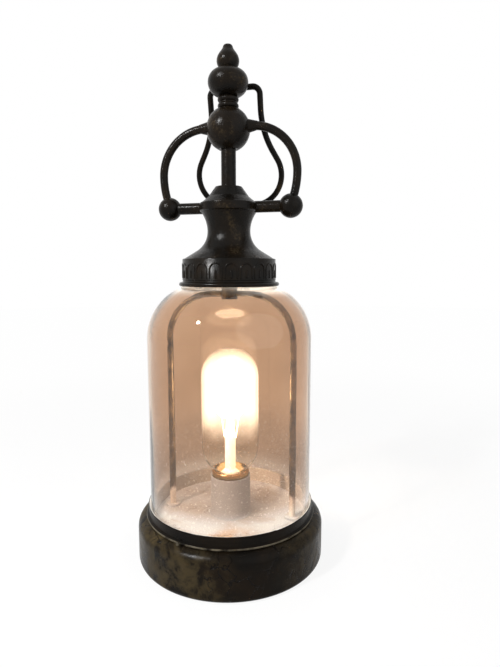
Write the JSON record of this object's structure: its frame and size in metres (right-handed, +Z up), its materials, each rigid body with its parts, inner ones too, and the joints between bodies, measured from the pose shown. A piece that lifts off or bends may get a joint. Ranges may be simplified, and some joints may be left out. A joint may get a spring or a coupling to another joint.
{
  "type": "lantern table lamp",
  "caption": "Lantern table lamp: drum base, open bell jar over a rod hoop, tubular screw bulb and a turned screw-on crown with scroll arms and a hinged hanging loop.",
  "frame": {"origin": "centre of the underside that the lamp stands on", "axes": "+Z up along the lamp's axis, X along the crown's side bars, +Y to the back, where the cord outlet and the hanging loop are"},
  "size_m": [0.145, 0.1463, 0.3843],
  "materials": {
    "aged_bronze": "glossy near-black bronze lacquer, rubbed through to golden brown",
    "hoop_bronze": "satin bronze lacquer on steel rod, white overspray at the feet",
    "white_paint": "brushed cream-white paint, stained",
    "zinc_steel": "bright zinc plate",
    "brass": "bright pressed brass",
    "felt": "dark green baize",
    "black_rubber": "moulded black rubber",
    "moulded_plastic": "cream moulded plastic",
    "porcelain": "white glazed porcelain",
    "black_glass": "black vitrite",
    "jar_glass": "clear blown glass with a faint warm tint",
    "bulb_glass": "clear bulb glass",
    "bulb_stem": "glass mount, lit",
    "filament_wire": "molybdenum wire",
    "filament_glow": "glowing tungsten coil"
  },
  "bodies": {
    "base": {"drum_shell": "aged_bronze", "rim_ring": "aged_bronze", "pan_plate": "white_paint", "bottom_cover": "zinc_steel", "felt_pad": "felt", "cover_brackets": "zinc_steel", "cover_screws": "zinc_steel", "cord_grommet": "black_rubber", "terminal_block": "moulded_plastic", "supply_leads": "moulded_plastic", "lampholder_base": "porcelain", "contact_tongue": "brass", "lampholder_shell": "brass", "candle_sleeve": "white_paint", "nipple": "brass", "nipple_nut": "zinc_steel", "hoop": "hoop_bronze", "foot_collars": "white_paint", "hoop_washers": "zinc_steel", "hoop_nuts": "zinc_steel", "stud_boss": "hoop_bronze", "stud": "zinc_steel"},
    "jar": {"glass_jar": "jar_glass"},
    "gasket": {"neck_gasket": "black_rubber"},
    "crown": {"cap_band": "aged_bronze", "cap_bell": "aged_bronze", "hub_plate": "zinc_steel", "tie_rod": "zinc_steel", "collar": "aged_bronze", "left_bar": "aged_bronze", "right_bar": "aged_bronze", "left_arm_ball": "aged_bronze", "right_arm_ball": "aged_bronze", "left_scroll": "aged_bronze", "right_scroll": "aged_bronze", "centre_tube": "aged_bronze", "large_ball": "aged_bronze", "spacer_ring": "aged_bronze", "upper_ball": "aged_bronze", "finial": "aged_bronze", "loop_lug": "aged_bronze"},
    "loop": {"hanging_loop": "aged_bronze"},
    "bulb_tip": {"bulb_contact": "brass"},
    "bulb": {"bulb_cap": "brass", "bulb_insulator": "black_glass", "bulb_glass": "bulb_glass", "bulb_stem": "bulb_stem", "filament_supports": "filament_wire", "filament": "filament_glow"}
  },
  "joints": [
    {"name": "jar_lift", "type": "slide", "parent": "base", "child": "jar", "axis": [0, 0, 1], "range_m": [0, 0.21]},
    {"name": "crown_rise", "type": "slide", "parent": "jar", "child": "gasket", "axis": [0, 0, 1], "range_m": [0, 0.0101]},
    {"name": "crown_turn", "type": "hinge", "parent": "gasket", "child": "crown", "pos_m": [0, 0, 0.226], "axis": [0, 0, 1], "range_deg": [0, 2880]},
    {"name": "loop_swing", "type": "hinge", "parent": "crown", "child": "loop", "pos_m": [0, 0.038, 0.27576], "axis": [-1, 0, 0], "range_deg": [0, 165]},
    {"name": "bulb_rise", "type": "slide", "parent": "base", "child": "bulb_tip", "axis": [0, 0, 1], "range_m": [0, 0.011]},
    {"name": "bulb_turn", "type": "hinge", "parent": "bulb_tip", "child": "bulb", "pos_m": [0, 0, 0.06], "axis": [0, 0, 1], "range_deg": [0, 1080]}
  ],
  "couplings": [
    {"joint": "crown_rise", "follows": "crown_turn", "m_per_rad": 0.00019894},
    {"joint": "bulb_rise", "follows": "bulb_turn", "m_per_rad": 0.00057757}
  ]
}
